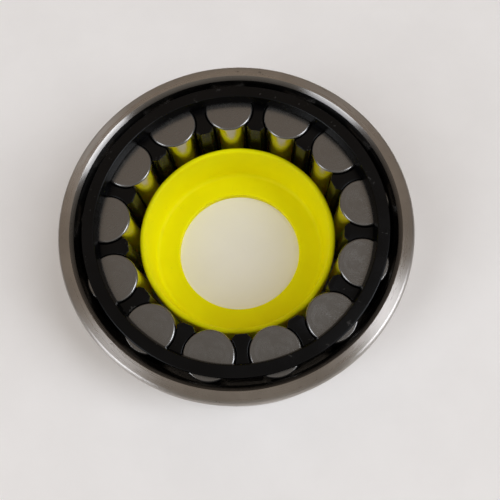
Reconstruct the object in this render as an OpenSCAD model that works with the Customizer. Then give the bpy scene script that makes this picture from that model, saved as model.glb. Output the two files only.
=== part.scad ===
// Cylindrical roller bearing without its inner ring: outer ring, rollers, moulded cage
// and the plastic mounting sleeve that keeps the place of the shaft.
// The axis is Z, the outer ring stands on z = 0 and the open side is up. Millimetres.

/* [Outer ring] */
// Outside diameter of the outer ring
outer_d = 52; // [48:0.5:60]
// Width of the outer ring from face to face
bearing_w = 15; // [13:0.25:20]
// Wall of the outer ring behind the raceway
ring_wall = 2.75; // [2:0.05:3.5]
// Radius of the outer edges of the ring
edge_r = 0.9; // [0.3:0.1:1.2]
// Width of the bright chamfer on the open side's inner edge
mouth_chamfer = 0.5; // [0.2:0.05:0.8]
// How far the lead-in taper opens past the raceway
lead_in = 0.35; // [0.2:0.05:0.9]
// Length of the lead-in taper along the axis
lead_in_l = 1.5; // [0.6:0.05:2.5]
// Thickness of the rib on the closed side
rib_t = 2.6; // [1.8:0.1:3.5]
// How far the rib stands in from the raceway
rib_h = 1.4; // [1:0.1:1.8]
// Depth of the grinding groove between raceway and rib
groove_depth = 0.3; // [0.1:0.05:0.5]
// Width of the grinding groove between raceway and rib
groove_w = 0.7; // [0.4:0.05:1]
// Chamfer on the rib's own edges
rib_chamfer = 0.3; // [0.1:0.05:0.5]

/* [Rollers] */
// Number of rollers
roller_count = 13; // [9:1:14]
// Nominal diameter of a roller
roller_d = 7.5; // [6.5:0.05:7.9]
// Radius of a roller's end edges
roller_edge_r = 0.5; // [0.1:0.05:0.8]
// Radial gap between a roller and the raceway
race_play = 0.05; // [0.02:0.01:0.1]
// Axial gap between a roller and the rib
end_play = 0.1; // [0.05:0.05:0.3]

/* [Cage] */
// Radial gap between a roller and its pocket
pocket_play = 0.15; // [0.05:0.05:0.3]
// Axial gap between a roller and a cage ring
pocket_end_play = 0.15; // [0.05:0.05:0.3]
// Radial width of the open side's cage ring at its foot
top_ring_w = 2.1; // [1.4:0.05:2.4]
// How far the inner side of that ring leans out from its foot to its top
top_ring_slope = 0.3; // [0.1:0.05:0.5]
// Thickness of the open side's cage ring
top_ring_t = 1.4; // [0.7:0.1:1.6]
// Radial gap between the open side's cage ring and the raceway
top_ring_gap = 0.85; // [0.5:0.05:1.4]
// How far the cage stays below the outer ring's face
cage_recess = 0.15; // [0:0.05:0.5]
// Chamfer on the cage rings' edges
cage_chamfer = 0.2; // [0.05:0.05:0.3]
// Radial width of the rib side's cage ring
bottom_ring_w = 1.9; // [1.2:0.1:2.2]
// Thickness of the rib side's cage ring
bottom_ring_t = 1.5; // [0.8:0.1:1.6]
// Gap between the cage and the rib
rib_gap = 0.35; // [0.2:0.05:0.6]
// How far the bars' inner lands stay outside the rollers' inner circle
bar_setback = 0.35; // [0.2:0.05:0.8]
// Width of the flat inner land on a bar
bar_land_w = 1.6; // [1:0.1:2]
// Angle of the bevel beside that land
bar_bevel = 30; // [20:1:40]
// How far a bar's end stays below the roller's end
bar_drop = 0.3; // [0:0.05:0.6]

/* [Mounting sleeve] */
// Radial gap between the sleeve and the rollers' inner circle
sleeve_play = 0.15; // [0.1:0.05:0.4]
// Height of the sleeve
sleeve_h = 8.5; // [6:0.1:11]
// How far the sleeve's rim is drawn in from its seat
sleeve_taper = 0.2; // [0.1:0.05:1]
// Length of that taper below the rim
sleeve_taper_l = 3; // [1:0.1:4]
// Wall of the sleeve at its full-round rim
rim_wall = 0.85; // [0.6:0.05:1.2]
// Draft of the sleeve's inside
sleeve_draft = 3; // [1:0.5:12]
// Thickness of the sleeve's floor
sleeve_floor_t = 1.25; // [0.8:0.05:2]
// Radius between the sleeve's wall and floor
sleeve_fillet = 0.8; // [0.3:0.1:1.2]
// Diameter of the hole in the sleeve's floor
sleeve_bore_d = 20.5; // [14:0.1:22]
// Chamfer on the sleeve's lower edge
sleeve_chamfer = 0.4; // [0.1:0.1:0.8]

/* [Hidden] */
$fn = 160;
eps = 0.1;

// Radii that follow from the ring and the rollers
outer_r = outer_d / 2;
raceway_r = outer_r - ring_wall;
pitch_r = raceway_r - roller_d / 2;
inscribed_r = raceway_r - roller_d;
roller_r = roller_d / 2 - race_play;
pocket_r = roller_r + pocket_play;
mouth_r = raceway_r + lead_in;
rib_r = raceway_r - rib_h;
roller_step = 360 / roller_count;

// Heights, from the rib up to the open face
roller_z = rib_t + end_play;
cage_top_z = bearing_w - cage_recess;
top_ring_z = cage_top_z - top_ring_t;
roller_top_z = top_ring_z - pocket_end_play;
roller_l = roller_top_z - roller_z;
bottom_ring_top_z = roller_z - pocket_end_play;

// The cage's two rings and its bars
top_ring_out_r = raceway_r - top_ring_gap;
top_ring_in_r = top_ring_out_r - top_ring_w;
bottom_ring_out_r = rib_r - rib_gap;
bottom_ring_in_r = bottom_ring_out_r - bottom_ring_w;
bar_in_r = inscribed_r + bar_setback;
bar_land_angle = asin(bar_land_w / 2 / bar_in_r);

// The mounting sleeve
seat_r = inscribed_r - sleeve_play;
rim_r = seat_r - sleeve_taper;
rim_in_r = rim_r - rim_wall;
rim_z = sleeve_h - rim_wall / 2;
floor_r = rim_in_r - (rim_z - sleeve_floor_t) * tan(sleeve_draft);

ring_steel = [0.43, 0.39, 0.35];
roller_steel = [0.5, 0.47, 0.44];
cage_black = [0.07, 0.07, 0.07];
sleeve_yellow = [0.88, 0.85, 0.02];

function two_digits(n) = str(n < 10 ? "0" : "", n);
function roller_name(n) = str("roller_", two_digits(n));
function roller_angle(n) = 90 - (n - 1) * roller_step;

// What a radius r takes off a square corner at the point p, whose body lies towards (sx, sy)
module corner_waste(p, r, sx, sy) {
    translate(p)
        mirror([sx < 0 ? 1 : 0, 0])
            mirror([0, sy < 0 ? 1 : 0])
                difference() {
                    translate([-eps, -eps])
                        square(r + eps);
                    translate([r, r])
                        circle(r);
                }
}

// Half section of the outer ring: rib below, raceway, lead-in taper and chamfer above
module outer_ring_section() {
    mouth_z = bearing_w - mouth_chamfer;
    difference() {
        polygon([
            [rib_r + rib_chamfer, 0],
            [outer_r, 0],
            [outer_r, bearing_w],
            [mouth_r + mouth_chamfer, bearing_w],
            [mouth_r, mouth_z],
            [raceway_r, mouth_z - lead_in_l],
            [raceway_r, rib_t],
            [rib_r + rib_chamfer, rib_t],
            [rib_r, rib_t - rib_chamfer],
            [rib_r, rib_chamfer]
        ]);
        corner_waste([outer_r, 0], edge_r, -1, 1);
        corner_waste([outer_r, bearing_w], edge_r, -1, -1);
        translate([raceway_r - eps, rib_t])
            square([groove_depth + eps, groove_w]);
    }
}

module outer_ring() {
    color(ring_steel)
        rotate_extrude()
            outer_ring_section();
}

module roller_section() {
    difference() {
        square([roller_r, roller_l]);
        corner_waste([roller_r, 0], roller_edge_r, -1, 1);
        corner_waste([roller_r, roller_l], roller_edge_r, -1, -1);
    }
}

module roller(n) {
    color(roller_steel)
        rotate(roller_angle(n))
            translate([pitch_r, 0, roller_z])
                rotate_extrude()
                    roller_section();
}

// Section of a ring with its four edges chamfered, whose inner side leans out by slope
module chamfered_section(in_r, out_r, z, t, c, slope = 0) {
    polygon([
        [in_r + c, z],
        [out_r - c, z],
        [out_r, z + c],
        [out_r, z + t - c],
        [out_r - c, z + t],
        [in_r + slope + c, z + t],
        [in_r + slope, z + t - c],
        [in_r, z + c]
    ]);
}

// The blank that the pockets cut into bars: stepped in over the rib, lower inside the top ring
module bar_section() {
    bar_top_z = roller_top_z - bar_drop;
    polygon([
        [bar_in_r, bottom_ring_top_z - cage_chamfer - eps],
        [bottom_ring_out_r, bottom_ring_top_z - cage_chamfer - eps],
        [bottom_ring_out_r, rib_t + rib_gap],
        [top_ring_out_r, rib_t + rib_gap],
        [top_ring_out_r, top_ring_z + cage_chamfer + eps],
        [top_ring_in_r + top_ring_slope, top_ring_z + cage_chamfer + eps],
        [top_ring_in_r, bar_top_z],
        [bar_in_r, bar_top_z]
    ]);
}

// One pocket: the roller's own space, and the bevelled mouth towards the axis
module pocket() {
    land_edge_angle = roller_step / 2 - bar_land_angle;
    land_x = bar_in_r * cos(land_edge_angle);
    land_y = bar_in_r * sin(land_edge_angle);
    inner_x = seat_r;
    inner_y = land_y + (land_x - inner_x) * tan(bar_bevel);
    outer_x = pitch_r - pocket_r / 2;
    outer_y = land_y - (outer_x - land_x) * tan(bar_bevel);
    translate([pitch_r, 0, 0])
        cylinder(h = bearing_w, r = pocket_r);
    linear_extrude(bearing_w)
        polygon([
            [inner_x, -inner_y],
            [outer_x, -outer_y],
            [outer_x, outer_y],
            [inner_x, inner_y]
        ]);
}

module cage_bars() {
    difference() {
        rotate_extrude()
            bar_section();
        for (n = [1:roller_count])
            rotate(roller_angle(n))
                pocket();
    }
}

module cage() {
    bottom_ring_z = bottom_ring_top_z - bottom_ring_t;
    color(cage_black)
        union() {
            cage_bars();
            rotate_extrude()
                chamfered_section(top_ring_in_r, top_ring_out_r, top_ring_z, top_ring_t,
                    cage_chamfer, top_ring_slope);
            rotate_extrude()
                chamfered_section(bottom_ring_in_r, bottom_ring_out_r, bottom_ring_z,
                    bottom_ring_t, cage_chamfer);
        }
}

// Half section of the sleeve: a drafted cup with a holed floor and a drawn-in, full-round rim
module mounting_sleeve_section() {
    bore_r = sleeve_bore_d / 2;
    polygon([
        [bore_r, 0],
        [seat_r - sleeve_chamfer, 0],
        [seat_r, sleeve_chamfer],
        [seat_r, rim_z - sleeve_taper_l],
        [rim_r, rim_z],
        [rim_in_r, rim_z],
        [floor_r, sleeve_floor_t],
        [bore_r, sleeve_floor_t]
    ]);
    translate([rim_r - rim_wall / 2, rim_z])
        circle(rim_wall / 2);
    sleeve_fillet_section();
}

// The radius between the drafted wall and the floor, tangent to both
module sleeve_fillet_section() {
    centre_r = floor_r - sleeve_fillet * (1 - sin(sleeve_draft)) / cos(sleeve_draft);
    wall_r = centre_r + sleeve_fillet * cos(sleeve_draft);
    wall_z = sleeve_floor_t + sleeve_fillet * (1 - sin(sleeve_draft));
    difference() {
        polygon([
            [centre_r, sleeve_floor_t - eps],
            [floor_r + eps, sleeve_floor_t - eps],
            [wall_r + eps, wall_z],
            [wall_r, wall_z]
        ]);
        translate([centre_r, sleeve_floor_t + sleeve_fillet])
            circle(sleeve_fillet);
    }
}

module mounting_sleeve() {
    color(sleeve_yellow)
        rotate_extrude()
            mounting_sleeve_section();
}

outer_ring();
cage();
mounting_sleeve();
for (n = [1:roller_count])
    roller(n);
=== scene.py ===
import bpy
import math
import numpy as np
from mathutils import Matrix, Quaternion, Vector


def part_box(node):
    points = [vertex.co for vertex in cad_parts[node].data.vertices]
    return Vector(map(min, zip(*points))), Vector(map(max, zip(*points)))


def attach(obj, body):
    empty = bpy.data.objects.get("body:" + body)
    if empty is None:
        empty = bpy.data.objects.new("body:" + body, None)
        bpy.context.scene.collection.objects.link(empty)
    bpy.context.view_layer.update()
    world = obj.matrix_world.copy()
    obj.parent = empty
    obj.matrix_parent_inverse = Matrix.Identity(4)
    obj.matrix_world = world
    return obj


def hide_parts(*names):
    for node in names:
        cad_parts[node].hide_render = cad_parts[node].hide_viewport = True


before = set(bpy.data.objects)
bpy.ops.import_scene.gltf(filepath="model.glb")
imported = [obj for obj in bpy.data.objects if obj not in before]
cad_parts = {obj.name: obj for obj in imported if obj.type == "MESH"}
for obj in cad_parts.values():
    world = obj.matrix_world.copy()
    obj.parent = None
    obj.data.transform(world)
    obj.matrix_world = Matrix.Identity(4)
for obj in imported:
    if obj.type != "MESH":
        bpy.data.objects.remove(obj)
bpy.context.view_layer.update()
mm = 0.001
fullTurn = 2 * math.pi
noiseLow, noiseHigh = 0.3, 0.7  # nearly all of a noise lies between these
print("frame loaded:", len(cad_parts), "nodes")


# Each corner of a closed section becomes an arc of its own radius, and radius 0 keeps one point.
# Walking round with the body on the left, the heading turns evenly through the corner, the outward
# normal is the heading turned right, and the point lies one radius along it from the arc's centre.
def roundedSection(corners, radii, steps):
    p = np.array(corners, float)
    radius = np.array(radii, float)
    ahead = np.roll(p, -1, axis=0) - p
    ahead /= np.linalg.norm(ahead, axis=1, keepdims=True)
    before = np.roll(ahead, 1, axis=0)
    turn = np.arctan2(before[:, 0] * ahead[:, 1] - before[:, 1] * ahead[:, 0], (before * ahead).sum(1))
    bend = (np.sign(turn) * radius)[:, None]
    start = p - before * (radius * np.tan(np.abs(turn) / 2))[:, None]
    centre = start + bend * np.stack((-before[:, 1], before[:, 0]), 1)
    heading = np.arctan2(before[:, 1], before[:, 0])[:, None] + turn[:, None] * np.linspace(0, 1, steps)
    normal = np.stack((np.sin(heading), -np.cos(heading)), -1)
    point = centre[:, None] + bend[:, None] * normal
    keep = (radius[:, None] > 0) | (np.arange(steps) == steps // 2)
    return point[keep], normal[keep]


# Surface of revolution: at fraction u of a turn, the section's point (r, z) stands at
# (x + r cos 2 pi u, y + r sin 2 pi u, z). Poles close a section that ends on the axis, and any other
# section closes on itself. UV keeps u and the length along the section in millimetres.
def turnedMesh(name, section, segments, axis=(0, 0), poles=None, finish=None):
    point, normal = section
    k = len(point)
    angle = fullTurn * np.arange(segments) / segments
    spoke = np.stack((np.cos(angle), np.sin(angle)), 1)[:, None]
    tall = np.ones((segments, k, 1))
    verts = np.concatenate((np.array(axis) + spoke * point[:, :1], tall * point[:, 1:]), -1).reshape(-1, 3)
    norms = np.concatenate((spoke * normal[:, :1], tall * normal[:, 1:]), -1).reshape(-1, 3)

    rows = k if poles is None else k - 1
    i, j = np.meshgrid(np.arange(segments), np.arange(rows), indexing="ij")
    iNext, jNext = (i + 1) % segments, (j + 1) % k
    quads = np.stack((i * k + j, iNext * k + j, iNext * k + jNext, i * k + jNext), -1).reshape(-1, 4)
    length = np.linalg.norm(np.diff(point, axis=0, append=point[:1]), axis=1)
    along = np.concatenate(([0], np.cumsum(length)))
    u, uNext = i / segments, (i + 1) / segments
    uv = np.stack((u, along[j], uNext, along[j], uNext, along[j + 1], u, along[j + 1]), -1).reshape(-1, 2)
    faces = quads.tolist()

    if poles is not None:
        a = np.arange(segments)
        b = (a + 1) % segments
        foot, head = len(verts), len(verts) + 1
        verts = np.concatenate((verts, [[*axis, poles[0]], [*axis, poles[1]]]))
        norms = np.concatenate((norms, [[0, 0, -1], [0, 0, 1]]))
        faces += np.stack((np.full(segments, foot), b * k, a * k), 1).tolist()
        faces += np.stack((np.full(segments, head), a * k + k - 1, b * k + k - 1), 1).tolist()
        low, high = np.full(segments, -point[0, 0]), np.full(segments, along[k - 1] + point[-1, 0])
        edge, rim = np.zeros(segments), np.full(segments, along[k - 1])
        ua, ub, mid = a / segments, (a + 1) / segments, (a + 0.5) / segments
        uv = np.concatenate((
            uv,
            np.stack((mid, low, ub, edge, ua, edge), 1).reshape(-1, 2),
            np.stack((mid, high, ua, rim, ub, rim), 1).reshape(-1, 2),
        ))

    mesh = bpy.data.meshes.new(name)
    mesh.from_pydata((verts * mm).tolist(), [], faces)
    mesh.uv_layers.new(name="turn").uv.foreach_set("vector", uv.astype(np.float32).ravel())
    for label, values in (finish or {}).items():
        spread = np.tile(values, segments)
        if poles is not None:
            spread = np.append(spread, (values[0], values[-1]))
        mesh.attributes.new(label, "FLOAT", "POINT").data.foreach_set("value", spread.astype(np.float32))
    mesh.shade_smooth()
    mesh.normals_split_custom_set_from_vertices(norms.tolist())
    return mesh


# A finished mesh rides on its CAD node, stands in for it and takes the given material
def addPiece(mesh, node, material):
    piece = bpy.data.objects.new(mesh.name, mesh)
    bpy.context.scene.collection.objects.link(piece)
    mesh.materials.clear()
    mesh.materials.append(material)
    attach(piece, node)
    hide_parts(node)
    return piece


def addNode(tree, kind, **settings):
    node = tree.nodes.new(kind)
    for key, value in settings.items():
        setattr(node, key, value)
    return node


# A key such as i0 is a socket by number, and any other key is its name with _ for each space
def feed(tree, node, **values):
    for key, value in values.items():
        socket = node.inputs[int(key[1:])] if key[1:].isdigit() else node.inputs[key.replace("_", " ")]
        if isinstance(value, bpy.types.NodeSocket):
            tree.links.new(value, socket)
        else:
            socket.default_value = value
    return node


def calc(tree, operation, a, b=0.0, clamp=False):
    node = addNode(tree, "ShaderNodeMath", operation=operation, use_clamp=clamp)
    return feed(tree, node, i0=a, i1=b).outputs[0]


def noise(tree, vector, scale, detail, rough):
    node = addNode(tree, "ShaderNodeTexNoise")
    return feed(tree, node, Vector=vector, Scale=scale, Detail=detail, Roughness=rough).outputs["Fac"]


def between(tree, value, low, high, toLow, toHigh):
    node = addNode(tree, "ShaderNodeMapRange", interpolation_type="SMOOTHSTEP")
    feed(tree, node, Value=value, From_Min=low, From_Max=high, To_Min=toLow, To_Max=toHigh)
    return node.outputs[0]


def fromNoise(tree, value, toLow, toHigh):
    return between(tree, value, noiseLow, noiseHigh, toLow, toHigh)


def blendColour(tree, share, first, second):
    node = addNode(tree, "ShaderNodeMix", data_type="RGBA")
    feed(tree, node, i0=share, i6=first, i7=second)
    return node.outputs[2]


def newGroup(name, takes, gives):
    group = bpy.data.node_groups.new(name, "ShaderNodeTree")
    for label, kind in takes:
        group.interface.new_socket(label, in_out="INPUT", socket_type=kind)
    for label in gives:
        group.interface.new_socket(label, in_out="OUTPUT", socket_type="NodeSocketFloat")
    return group, addNode(group, "NodeGroupInput"), addNode(group, "NodeGroupOutput")


def useGroup(tree, group, **values):
    return feed(tree, addNode(tree, "ShaderNodeGroup", node_tree=group), **values)


# Lines left by grinding and turning: noise read at (Around cos 2 pi u, Around sin 2 pi u, Across v), so
# it is drawn out round the axis, fine along the section, and has no seam. Chatter is slower banding.
def makeTurningMarks():
    group, takes, gives = newGroup(
        "turningMarks",
        [("Turn", "NodeSocketVector"), ("Around", "NodeSocketFloat"), ("Across", "NodeSocketFloat")],
        ["Lines", "Chatter"],
    )
    split = addNode(group, "ShaderNodeSeparateXYZ")
    feed(group, split, Vector=takes.outputs["Turn"])
    angle = calc(group, "MULTIPLY", split.outputs[0], fullTurn)
    join = addNode(group, "ShaderNodeCombineXYZ")
    feed(
        group, join,
        X=calc(group, "MULTIPLY", calc(group, "COSINE", angle), takes.outputs["Around"]),
        Y=calc(group, "MULTIPLY", calc(group, "SINE", angle), takes.outputs["Around"]),
        Z=calc(group, "MULTIPLY", split.outputs[1], takes.outputs["Across"]),
    )
    lines = noise(group, join.outputs[0], scale=1.0, detail=3.0, rough=0.6)
    chatter = noise(group, join.outputs[0], scale=0.23, detail=1.0, rough=0.5)
    feed(group, gives, Lines=lines, Chatter=chatter)
    return group


# Skin of a moulded part: Grain is the fine spark-eroded texture, Cloud the slow change of gloss over it
def makeMouldedSkin():
    group, takes, gives = newGroup(
        "mouldedSkin",
        [("Place", "NodeSocketVector"), ("Fineness", "NodeSocketFloat")],
        ["Grain", "Cloud"],
    )
    place = takes.outputs["Place"]
    grain = noise(group, place, takes.outputs["Fineness"], detail=3.0, rough=0.55)
    cloud = noise(group, place, scale=160.0, detail=3.0, rough=0.5)
    feed(group, gives, Grain=grain, Cloud=cloud)
    return group


# Specks of dust and handling: two noises multiplied, cut off high so that only scattered dots are left
def makeSpecks():
    group, takes, gives = newGroup(
        "specks",
        [("Place", "NodeSocketVector"), ("Cut", "NodeSocketFloat")],
        ["Mask"],
    )
    place = takes.outputs["Place"]
    softness = 0.05
    small = noise(group, place, scale=2600.0, detail=2.0, rough=0.5)
    patches = noise(group, place, scale=420.0, detail=2.0, rough=0.6)
    dots = calc(group, "MULTIPLY", small, patches)
    top = calc(group, "ADD", takes.outputs["Cut"], softness)
    gap = addNode(group, "ShaderNodeMapRange", interpolation_type="SMOOTHSTEP")
    feed(group, gap, Value=dots, From_Min=takes.outputs["Cut"], From_Max=top)
    feed(group, gives, Mask=gap.outputs[0])
    return group


turningMarks = makeTurningMarks()
mouldedSkin = makeMouldedSkin()
specks = makeSpecks()


def newMaterial(name):
    material = bpy.data.materials.new(name)
    material.use_nodes = True
    tree = material.node_tree
    tree.nodes.clear()
    shader = addNode(tree, "ShaderNodeBsdfPrincipled")
    feed(tree, addNode(tree, "ShaderNodeOutputMaterial"), Surface=shader.outputs[0])
    coords = addNode(tree, "ShaderNodeTexCoord")
    return material, tree, shader, coords


def addBump(tree, shader, height, distance):
    bump = addNode(tree, "ShaderNodeBump")
    feed(tree, bump, Height=height, Distance=distance, Strength=1.0)
    feed(tree, shader, Normal=bump.outputs[0])


# Ground steel: the marks set its roughness and bump, mottle its colour, and specks of dust blend it towards
# the dark speck-and-shade colour.
# The cut, fine and edge attributes each add their own roughness, and their shares blend the colour towards
# that same dark colour. The fine share is painted shade inside the mouth. The cut share darkens the chamfer
# and the roller end faces, and on the ends it stands partly for painted shade. The edge share darkens the
# outer rounding slightly.
def makeSteel(name, finish):
    chatterSwing = 0.03
    acrossMarks = 0.25  # in turns: marks run round the axis, so gloss spreads across them
    material, tree, shader, coords = newMaterial(name)
    uv = addNode(tree, "ShaderNodeUVMap", uv_map="turn").outputs[0]
    marks = useGroup(tree, turningMarks, Turn=uv, Around=finish["around"], Across=finish["across"])
    dust = useGroup(tree, specks, Place=coords.outputs["Object"], Cut=finish["speckCut"])
    mottle = noise(tree, coords.outputs["Object"], finish["mottleScale"], detail=6.0, rough=0.66)
    lines, chatter = marks.outputs["Lines"], marks.outputs["Chatter"]
    tone = blendColour(tree, fromNoise(tree, mottle, 0.0, 1.0), finish["dark"], finish["light"])
    dustShare = calc(tree, "MULTIPLY", dust.outputs["Mask"], finish["speckShare"])
    tone = blendColour(tree, dustShare, tone, finish["speckAndShade"])
    wide = fromNoise(tree, lines, finish["roughLow"], finish["roughHigh"])
    rough = calc(tree, "ADD", wide, fromNoise(tree, chatter, -chatterSwing, chatterSwing), clamp=True)
    cut, fine, edge = [
        addNode(tree, "ShaderNodeAttribute", attribute_name=label).outputs["Fac"]
        for label in ("cut", "fine", "edge")
    ]
    rough = calc(tree, "ADD", rough, calc(tree, "MULTIPLY", cut, finish["cutRough"]), clamp=True)
    rough = calc(tree, "SUBTRACT", rough, calc(tree, "MULTIPLY", fine, finish["fineSmooth"]), clamp=True)
    rough = calc(tree, "ADD", rough, calc(tree, "MULTIPLY", edge, finish["edgeRough"]), clamp=True)
    # painted shade and darkening: the fine share shades the raceway and lead-in, and the cut and edge
    # shares darken the chamfer, roller ends and outer rounding
    paintedShadeAndDarkening = calc(tree, "MULTIPLY", cut, finish["cutShare"])
    paintedShadeAndDarkening = calc(tree, "ADD", paintedShadeAndDarkening, calc(tree, "MULTIPLY", fine, finish["recessShadeShare"]))
    paintedShadeAndDarkening = calc(tree, "ADD", paintedShadeAndDarkening, calc(tree, "MULTIPLY", edge, finish["edgeShare"]))
    tone = blendColour(tree, paintedShadeAndDarkening, tone, finish["speckAndShade"])
    metal = calc(tree, "SUBTRACT", 1.0, calc(tree, "MULTIPLY", cut, finish["cutHaze"]))
    feed(tree, shader, Base_Color=tone, Roughness=rough, Metallic=metal)
    shader.inputs["Anisotropic"].default_value = finish["grain"]
    shader.inputs["Anisotropic Rotation"].default_value = acrossMarks
    tangent = addNode(tree, "ShaderNodeTangent", direction_type="UV_MAP", uv_map="turn")
    feed(tree, shader, Tangent=tangent.outputs[0])
    addBump(tree, shader, lines, finish["depth"])
    return material


# Moulded plastic: the slow cloud sets colour and roughness, the fine grain the bump
def makePlastic(name, finish):
    glowColour, glowReach = (1.0, 0.8, 0.05), 0.002
    material, tree, shader, coords = newMaterial(name)
    place = coords.outputs["Object"]
    skin = useGroup(tree, mouldedSkin, Place=place, Fineness=finish["fineness"])
    dust = useGroup(tree, specks, Place=place, Cut=finish["speckCut"])
    cloud = skin.outputs["Cloud"]
    tone = blendColour(tree, fromNoise(tree, cloud, 0.0, 1.0), finish["dark"], finish["light"])
    dustShare = calc(tree, "MULTIPLY", dust.outputs["Mask"], finish["speckShare"])
    tone = blendColour(tree, dustShare, tone, finish["speckAndShade"])
    rough = fromNoise(tree, cloud, finish["roughLow"], finish["roughHigh"])
    feed(tree, shader, Base_Color=tone, Roughness=rough)
    shader.inputs["Specular IOR Level"].default_value = finish["gloss"]
    shader.inputs["Subsurface Weight"].default_value = finish["depthOfGlow"]
    shader.inputs["Subsurface Radius"].default_value = glowColour
    shader.inputs["Subsurface Scale"].default_value = glowReach
    addBump(tree, shader, skin.outputs["Grain"], finish["depth"])
    return material


ringSize = {
    "wall": 2.75, "outerEdge": 0.9, "faceEdge": 0.65, "faceEdgeTall": 1.2,
    "mouthChamfer": 0.5, "leadIn": 0.35, "leadInLength": 1.5,
    "ribThick": 2.6, "ribHeight": 1.4, "grooveDepth": 0.3, "grooveWidth": 0.7, "ribChamfer": 0.3,
    "softEdge": 0.07, "segments": 288, "arcSteps": 7, "footHeight": 0.5,
}
ringFinish = {
    "dark": (0.402, 0.371, 0.340, 1), "light": (0.503, 0.465, 0.427, 1), "speckAndShade": (0.089, 0.084, 0.079, 1),
    "speckCut": 0.40, "speckShare": 0.5, "mottleScale": 90.0,
    "around": 11.0, "across": 9.0, "depth": 2.0e-6,
    "roughLow": 0.25, "roughHigh": 0.30, "grain": 0.92, "cutRough": -0.03, "cutShare": 0.95, "cutHaze": 0.0,
    "fineSmooth": 0.05, "recessShadeShare": 0.85, "edgeRough": 0.05, "edgeShare": 0.08, "cutAtFace": 0.55,
}

ringLow, ringHigh = [np.array(c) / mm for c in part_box("outer_ring")]
outerR, width = ringHigh[0], ringHigh[2] - ringLow[2]
racewayR = outerR - ringSize["wall"]
ribR = racewayR - ringSize["ribHeight"]
mouthR = racewayR + ringSize["leadIn"]
mouthZ = width - ringSize["mouthChamfer"]
grooveR = racewayR + ringSize["grooveDepth"]
grooveTop = ringSize["ribThick"] + ringSize["grooveWidth"]
soft = ringSize["softEdge"]

ringSection = roundedSection(
    [
        (ribR + ringSize["ribChamfer"], 0), (outerR, 0), (outerR, width),
        (mouthR + ringSize["mouthChamfer"], width), (mouthR, mouthZ),
        (racewayR, mouthZ - ringSize["leadInLength"]), (racewayR, grooveTop), (grooveR, grooveTop),
        (grooveR, ringSize["ribThick"]), (ribR + ringSize["ribChamfer"], ringSize["ribThick"]),
        (ribR, ringSize["ribThick"] - ringSize["ribChamfer"]), (ribR, ringSize["ribChamfer"]),
    ],
    [soft, ringSize["outerEdge"], ringSize["faceEdge"]] + [soft] * 9,
    ringSize["arcSteps"],
)
ringPoint, ringNormal = ringSection
# the open side's outer edge is a quarter ellipse: its arc is drawn out along the axis, and the axial
# part of its normals shrinks to match
slack, fineSlack = 0.01, 0.005
onEdge = np.all(ringPoint > np.array([outerR, width]) - ringSize["faceEdge"] - slack, axis=1)
drawn = np.where(onEdge, ringSize["faceEdgeTall"] / ringSize["faceEdge"], 1.0)
ringPoint[:, 1] = width - (width - ringPoint[:, 1]) * drawn
ringNormal[:, 1] /= drawn
ringNormal /= np.linalg.norm(ringNormal, axis=1, keepdims=True)
ringSteel = makeSteel("groundRingSteel", ringFinish)
ringR, ringZ = ringPoint.T
# the raceway and lead-in inside the mouth are fine ground: smoother, and blended dark as painted shade in
# the gap
onInside = (ringR < mouthR + ringSize["mouthChamfer"] - fineSlack) & (ringZ > ringSize["footHeight"])
onChamfer = onInside & (ringZ > mouthZ + slack)
onRounding = (ringR > outerR - ringSize["outerEdge"] + slack) & (np.abs(ringNormal[:, 1]) > slack)
# the chamfer is blended darker: fully at its lower end, and by cutAtFace at the face
cutShare = np.interp(ringZ, [mouthZ, width], [1.0, ringFinish["cutAtFace"]])
addPiece(
    turnedMesh(
        "outerRingGround", ringSection, ringSize["segments"],
        finish={"cut": onChamfer * cutShare, "fine": onInside & ~onChamfer, "edge": onRounding},
    ),
    "outer_ring", ringSteel,
)
print("outer ring: radius", round(outerR, 2), "width", round(width, 2))


rollerSize = {"edge": 0.3, "segments": 112, "arcSteps": 9, "endLean": 0.3}
rollerFinish = {
    "dark": (0.38, 0.36, 0.335, 1), "light": (0.46, 0.435, 0.405, 1), "speckAndShade": (0.239, 0.230, 0.219, 1),
    "speckCut": 0.41, "speckShare": 0.5, "mottleScale": 300.0,
    "around": 7.0, "across": 9.0, "depth": 1.0e-7,
    "roughLow": 0.12, "roughHigh": 0.14, "grain": 0.2, "cutRough": 0.13, "cutShare": 1.0, "cutHaze": 0.07,
    "fineSmooth": 0.0, "recessShadeShare": 0.0, "edgeRough": 0.0, "edgeShare": 0.0,
}

rollerSteel = makeSteel("lappedRollerSteel", rollerFinish)
rollerNames = sorted(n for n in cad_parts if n.startswith("roller_"))
for node in rollerNames:
    low, high = [np.array(c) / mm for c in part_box(node)]
    radius, axis = (high[0] - low[0]) / 2, (low[:2] + high[:2]) / 2
    corners = [(0, low[2]), (radius, low[2]), (radius, high[2]), (0, high[2])]
    edges = [0, rollerSize["edge"], rollerSize["edge"], 0]
    point, normal = roundedSection(corners, edges, rollerSize["arcSteps"])
    point, normal = point[1:-1], normal[1:-1]  # the poles take the place of the two points on the axis
    mesh = turnedMesh(
        "rollerLapped" + node[-2:], (point, normal), rollerSize["segments"],
        axis=tuple(axis), poles=(low[2], high[2]),
        # the end faces are cut: rougher, a little hazy, and blended fully to the darker colour, which
        # stands partly for painted shade from the rings above them
        finish={"cut": np.abs(normal[:, 1]) > rollerSize["endLean"]},
    )
    addPiece(mesh, node, rollerSteel)
print("rollers:", len(rollerNames))


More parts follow.
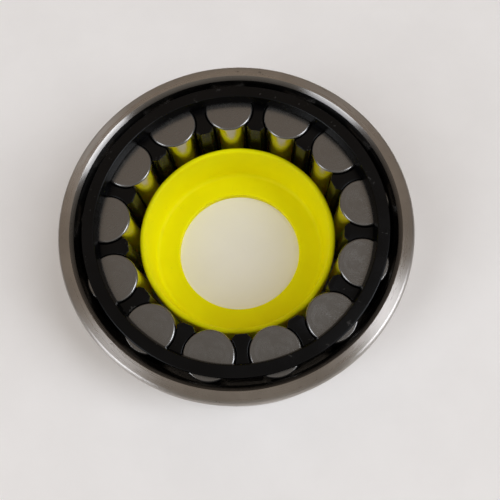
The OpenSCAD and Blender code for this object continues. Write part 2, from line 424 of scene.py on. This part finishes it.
cageSize = {
    "topWidth": 2.1, "topSlope": 0.3, "topThick": 1.4,
    "bottomOut": 21.5, "bottomWidth": 1.9, "bottomThick": 1.5,
    "edge": 0.2, "barInner": 16.1, "landWidth": 1.6, "bevel": 30.0, "barTop": 13.0, "barFoot": 2.25,
    "stepZ": 2.95, "pocketPlay": 0.15, "barEdge": 0.14, "sunk": 0.05, "segments": 260,
    "arcSteps": 6, "barBlend": 0.012, "barReach": 0.6, "sharpAngle": 40.0,
    "flankSteps": 34, "ringSteps": 7, "lipSteps": 6, "stationGap": 0.04,
}
cageFinish = {
    "dark": (0.0009, 0.0009, 0.0011, 1), "light": (0.0015, 0.0014, 0.0016, 1),
    "speckAndShade": (0.06, 0.057, 0.053, 1),
    "speckCut": 0.40, "speckShare": 0.5, "fineness": 5200.0, "depth": 6.0e-6,
    "roughLow": 0.22, "roughHigh": 0.31, "gloss": 0.19, "depthOfGlow": 0.0,
}

cageLow, cageHigh = [np.array(c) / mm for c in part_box("cage")]
firstLow, firstHigh = [np.array(c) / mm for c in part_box(rollerNames[0])]
pitchR = (firstLow[1] + firstHigh[1]) / 2
pocketR = (firstHigh[0] - firstLow[0]) / 2 + cageSize["pocketPlay"]
halfStep = math.pi / len(rollerNames)
cageOut, cageTop = cageHigh[0], cageHigh[2]
topIn = cageOut - cageSize["topWidth"]


# Half the angle that a bar fills at radius r: the smaller of the bevel beside its land, which is a
# straight line, and the pocket's round wall, with a short blend where they meet.
def barHalfAngle(r):
    slope = math.tan(math.radians(cageSize["bevel"]) + halfStep)
    landY = cageSize["landWidth"] / 2
    landX = math.sqrt(cageSize["barInner"] ** 2 - landY ** 2)
    base = landY - slope * landX
    steep = 1 + slope ** 2
    x = (-slope * base + np.sqrt((slope * base) ** 2 - steep * (base ** 2 - r ** 2))) / steep
    bevel = np.arctan2(base + slope * x, x)
    wall = halfStep - np.arccos(np.clip((r ** 2 + pitchR ** 2 - pocketR ** 2) / (2 * r * pitchR), -1, 1))
    blend = cageSize["barBlend"]
    share = np.clip(0.5 + 0.5 * (wall - bevel) / blend, 0, 1)
    return wall * (1 - share) + bevel * share - blend * share * (1 - share)


# Bars: a rounded rectangle carried out along the radius. At radius r it is 2 r angle(r) wide and runs from
# the foot to the top there; the inner end is drawn in on a quarter circle so that its edges are round.
def barsMesh(name):
    e = cageSize["barEdge"]
    sink, gap = cageSize["sunk"], cageSize["stationGap"]
    steps = cageSize["arcSteps"]
    arc = np.linspace(0, math.pi / 2, steps)
    inner = cageSize["barInner"] + e * (1 - np.cos(arc))
    shrink = e * (1 - np.sin(arc))
    neck = topIn + cageSize["topSlope"]
    step = cageSize["bottomOut"] - sink
    outer = cageOut - sink
    r = np.concatenate((
        inner,
        np.linspace(inner[-1] + 2 * gap, topIn, cageSize["flankSteps"]), [(topIn + neck) / 2],
        np.linspace(neck, step, cageSize["ringSteps"]), [step + gap],
        np.linspace(step + 3 * gap, outer, cageSize["lipSteps"]),
    ))
    tuck = np.concatenate((shrink, np.zeros(len(r) - len(shrink))))
    inRing = cageTop - cageSize["barReach"] * cageSize["topThick"]
    top = np.interp(r, [topIn, neck], [cageSize["barTop"], inRing])
    foot = np.where(r < step + gap / 4, cageSize["barFoot"], cageSize["stepZ"])
    half = r * barHalfAngle(r) - tuck
    mid, tall = (top + foot) / 2, (top - foot) / 2 - tuck

    turn = (arc + np.arange(4)[:, None] * math.pi / 2).ravel()
    sideX = np.repeat([1, -1, -1, 1], steps)
    sideZ = np.repeat([1, 1, -1, -1], steps)
    across = sideX * (half[:, None] - e) + e * np.cos(turn)
    z = mid[:, None] + sideZ * (tall[:, None] - e) + e * np.sin(turn)
    bar = halfStep + math.pi / 2 + np.arange(len(rollerNames)) * 2 * halfStep
    angle = bar[:, None, None] + across / r[:, None]
    far = np.broadcast_to(r[:, None], angle.shape)
    verts = np.stack((far * np.cos(angle), far * np.sin(angle), np.broadcast_to(z, angle.shape)), -1)

    bars, stations, around = angle.shape
    b, s, k = np.meshgrid(np.arange(bars), np.arange(stations - 1), np.arange(around), indexing="ij")
    at = (b * stations + s) * around
    kNext = (k + 1) % around
    quads = np.stack((at + k, at + kNext, at + around + kNext, at + around + k), -1).reshape(-1, 4)
    first = (np.arange(bars) * stations * around)[:, None]
    inCap = first + np.arange(around)[::-1]
    outCap = first + (stations - 1) * around + np.arange(around)
    mesh = bpy.data.meshes.new(name)
    faces = quads.tolist() + inCap.tolist() + outCap.tolist()
    mesh.from_pydata((verts.reshape(-1, 3) * mm).tolist(), [], faces)
    return mesh


# Cage ring: a rectangle with four rounded corners turned round the axis; slope leans its inner side out
def cageRingMesh(name, inR, outR, lowZ, highZ, slope=0.0):
    section = roundedSection(
        [(inR, lowZ), (outR, lowZ), (outR, highZ), (inR + slope, highZ)],
        [cageSize["edge"]] * 4, cageSize["arcSteps"],
    )
    return turnedMesh(name, section, cageSize["segments"])


# One mesh from several: an exact union of base with each of the others, whose work objects then go
def joinSolids(base, others):
    work = bpy.data.objects.new("cageWork", base)
    bpy.context.scene.collection.objects.link(work)
    tools = []
    for mesh in others:
        tool = bpy.data.objects.new("cageTool", mesh)
        bpy.context.scene.collection.objects.link(tool)
        tools.append(tool)
        union = work.modifiers.new("union", "BOOLEAN")
        union.operation, union.solver, union.object = "UNION", "EXACT", tool
    graph = bpy.context.evaluated_depsgraph_get()
    joined = bpy.data.meshes.new_from_object(work.evaluated_get(graph))
    for thing in [work] + tools:
        bpy.data.objects.remove(thing)
    return joined


bottomZ = cageLow[2]
cageMesh = joinSolids(
    barsMesh("cageBars"),
    [
        cageRingMesh(
            "cageTopRing", topIn, cageOut, cageTop - cageSize["topThick"], cageTop, cageSize["topSlope"],
        ),
        cageRingMesh(
            "cageBottomRing", cageSize["bottomOut"] - cageSize["bottomWidth"], cageSize["bottomOut"],
            bottomZ, bottomZ + cageSize["bottomThick"],
        ),
    ],
)
cageMesh.name = "cageMoulded"
cageMesh.shade_smooth()
cageMesh.set_sharp_from_angle(angle=math.radians(cageSize["sharpAngle"]))
cagePlastic = makePlastic("blackCagePlastic", cageFinish)
cagePiece = addPiece(cageMesh, "cage", cagePlastic)
evenNormals = cagePiece.modifiers.new("evenNormals", "WEIGHTED_NORMAL")
evenNormals.keep_sharp = True
print("cage:", len(cageMesh.polygons), "faces")


sleeveSize = {
    "rimIn": 0.2, "taperLength": 3.0, "rimWall": 0.85, "draft": 3.0, "floor": 1.25, "fillet": 0.8,
    "bore": 10.25, "lowEdge": 0.4, "softEdge": 0.12, "segments": 224, "arcSteps": 10,
    "taperBlend": 1.0, "rimOutEdge": 0.4, "rimInEdge": 0.38,
}
sleeveFinish = {
    "dark": (0.94, 0.848, 0.0006, 1), "light": (0.985, 0.89, 0.001, 1), "speckAndShade": (0.60, 0.53, 0.06, 1),
    "speckCut": 0.41, "speckShare": 0.2, "fineness": 4200.0, "depth": 5.0e-6,
    "roughLow": 0.46, "roughHigh": 0.56, "gloss": 0.08, "depthOfGlow": 0.4,
}

sleeveHigh = np.array(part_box("mounting_sleeve")[1]) / mm
seatR, sleeveTop = sleeveHigh[0], sleeveHigh[2]
rimR = seatR - sleeveSize["rimIn"]
rimZ = sleeveTop - sleeveSize["rimWall"] / 2
rimInR = rimR - sleeveSize["rimWall"]
floorR = rimInR - (rimZ - sleeveSize["floor"]) * math.tan(math.radians(sleeveSize["draft"]))
tipIn = sleeveSize["rimWall"] / 2 * math.tan(math.radians(sleeveSize["draft"]))
lean = sleeveSize["rimIn"] / sleeveSize["taperLength"]
sleeveSection = roundedSection(
    [
        (sleeveSize["bore"], 0), (seatR - sleeveSize["lowEdge"], 0), (seatR, sleeveSize["lowEdge"]),
        (seatR, rimZ - sleeveSize["taperLength"]), (rimR - lean * sleeveSize["rimWall"] / 2, sleeveTop),
        (rimInR + tipIn, sleeveTop), (floorR, sleeveSize["floor"]),
        (sleeveSize["bore"], sleeveSize["floor"]),
    ],
    [
        sleeveSize["softEdge"], sleeveSize["softEdge"], sleeveSize["softEdge"], sleeveSize["taperBlend"],
        sleeveSize["rimOutEdge"], sleeveSize["rimInEdge"], sleeveSize["fillet"], sleeveSize["softEdge"],
    ],
    sleeveSize["arcSteps"],
)
sleevePlastic = makePlastic("yellowSleevePlastic", sleeveFinish)
addPiece(
    turnedMesh("sleeveMoulded", sleeveSection, sleeveSize["segments"]),
    "mounting_sleeve", sleevePlastic,
)
print("sleeve: seat radius", round(seatR, 2), "floor radius", round(floorR, 2))


floorFinish = {
    "dark": (0.945, 0.905, 0.862, 1), "light": (0.975, 0.935, 0.892, 1), "reach": 4.0, "cells": 8,
    "grainScale": 60.0, "rough": 0.7, "gloss": 0.2,
}


# Floor: a flat grid of square cells at height 0, out to reach on each side
def makeFloor():
    reach, cells = floorFinish["reach"], floorFinish["cells"]
    row = cells + 1
    mesh = bpy.data.meshes.new("paleTable")
    side = np.linspace(-reach, reach, row)
    x, y = np.meshgrid(side, side, indexing="ij")
    verts = np.stack((x, y, np.zeros_like(x)), -1).reshape(-1, 3)
    i, j = np.meshgrid(np.arange(cells), np.arange(cells), indexing="ij")
    at = i * row + j
    quads = np.stack((at, at + row, at + row + 1, at + 1), -1).reshape(-1, 4)
    mesh.from_pydata(verts.tolist(), [], quads.tolist())
    material, tree, shader, coords = newMaterial("paleTableTop")
    grain = noise(tree, coords.outputs["Object"], floorFinish["grainScale"], detail=5.0, rough=0.6)
    tone = blendColour(tree, fromNoise(tree, grain, 0.0, 1.0), floorFinish["dark"], floorFinish["light"])
    feed(tree, shader, Base_Color=tone)
    shader.inputs["Roughness"].default_value = floorFinish["rough"]
    shader.inputs["Specular IOR Level"].default_value = floorFinish["gloss"]
    mesh.materials.append(material)
    floor = bpy.data.objects.new("paleTable", mesh)
    bpy.context.scene.collection.objects.link(floor)


makeFloor()

roomLight = {
    "low": (0.08, 0.076, 0.072, 1), "high": (0.296, 0.270, 0.241, 1), "back": (0.364, 0.300, 0.244, 1),
    "front": (0.402, 0.379, 0.349, 1),
    "lowEnds": 0.08, "highStarts": 0.50, "backFrom": 0.05, "backTo": 0.60, "backAzimuth": 102.0,
}
windowColour = (0.935, 1.0, 1.11)
lamps = {
    "rightWindow": {
        "azimuth": -8.0, "away": 1.0, "bottom": 0.42, "top": 2.6, "wide": 0.64, "lean": -15.0,
        "watts": 20.7, "colour": windowColour,
    },
    "leftWindow": {
        "azimuth": 203.0, "away": 1.0, "bottom": 0.30, "top": 1.9, "wide": 0.52, "lean": 20.0,
        "watts": 8.3, "colour": windowColour,
    },
}


# Room: a plain glow that rises from low to high with height, warmer at the back and brighter in front
def makeRoom():
    world = bpy.data.worlds.new("paleRoom")
    world.use_nodes = True
    tree = world.node_tree
    tree.nodes.clear()
    coords = addNode(tree, "ShaderNodeTexCoord")
    split = addNode(tree, "ShaderNodeSeparateXYZ")
    feed(tree, split, Vector=coords.outputs["Generated"])
    facing = addNode(tree, "ShaderNodeVectorMath", operation="DOT_PRODUCT")
    back = math.radians(roomLight["backAzimuth"])
    feed(tree, facing, i0=coords.outputs["Generated"], i1=(math.cos(back), math.sin(back), 0.0))
    behind = between(tree, facing.outputs["Value"], roomLight["backFrom"], roomLight["backTo"], 0.0, 1.0)
    rise = between(tree, split.outputs[2], roomLight["lowEnds"], roomLight["highStarts"], 0.0, 1.0)
    before = between(tree, facing.outputs["Value"], -roomLight["backTo"], -roomLight["backFrom"], 1.0, 0.0)
    ceiling = blendColour(tree, behind, roomLight["high"], roomLight["back"])
    ceiling = blendColour(tree, before, ceiling, roomLight["front"])
    glow = addNode(tree, "ShaderNodeBackground")
    feed(tree, glow, Color=blendColour(tree, rise, roomLight["low"], ceiling), Strength=1.0)
    feed(tree, addNode(tree, "ShaderNodeOutputWorld"), Surface=glow.outputs[0])
    bpy.context.scene.world = world


# Each window stands on end and faces the bearing's axis, and lean turns it in its own plane
def makeLamp(name, spec):
    data = bpy.data.lights.new(name, "AREA")
    data.shape, data.energy, data.color = "RECTANGLE", spec["watts"], spec["colour"]
    data.size, data.size_y = spec["wide"], spec["top"] - spec["bottom"]
    a = math.radians(spec["azimuth"])
    out = Vector((math.cos(a), math.sin(a), 0.0))
    lamp = bpy.data.objects.new(name, data)
    lamp.location = out * spec["away"] + Vector((0.0, 0.0, (spec["top"] + spec["bottom"]) / 2))
    facing = (-out).to_track_quat("-Z", "Y") @ Quaternion((0.0, 0.0, 1.0), math.radians(spec["lean"]))
    lamp.rotation_euler = facing.to_euler()
    bpy.context.scene.collection.objects.link(lamp)


makeRoom()
for name, spec in lamps.items():
    makeLamp(name, spec)

photoView = {
    "place": (2.720, -26.495, 82.880), "aim": (1.659, -10.089, 15.0), "roll": -7.222,
    "sensor": 36.0, "lens": 36.0, "shift": 0.0765, "nearest": 0.001,
}


# Camera: placed and aimed in millimetres, then rolled about its own view; shift moves the optical centre
def makeCamera():
    data = bpy.data.cameras.new("photoCamera")
    data.sensor_width, data.lens = photoView["sensor"], photoView["lens"]
    data.shift_y, data.clip_start = photoView["shift"], photoView["nearest"]
    place, aim = [Vector(photoView[k]) * mm for k in ("place", "aim")]
    look = (aim - place).to_track_quat("-Z", "Y").to_matrix().to_4x4()
    camera = bpy.data.objects.new("photoCamera", data)
    roll = Matrix.Rotation(math.radians(photoView["roll"]), 4, "Z")
    camera.matrix_world = Matrix.Translation(place) @ look @ roll
    bpy.context.scene.collection.objects.link(camera)
    bpy.context.scene.camera = camera


makeCamera()
bpy.context.scene.view_settings.view_transform = "Standard"
print("room, lamps and camera set")
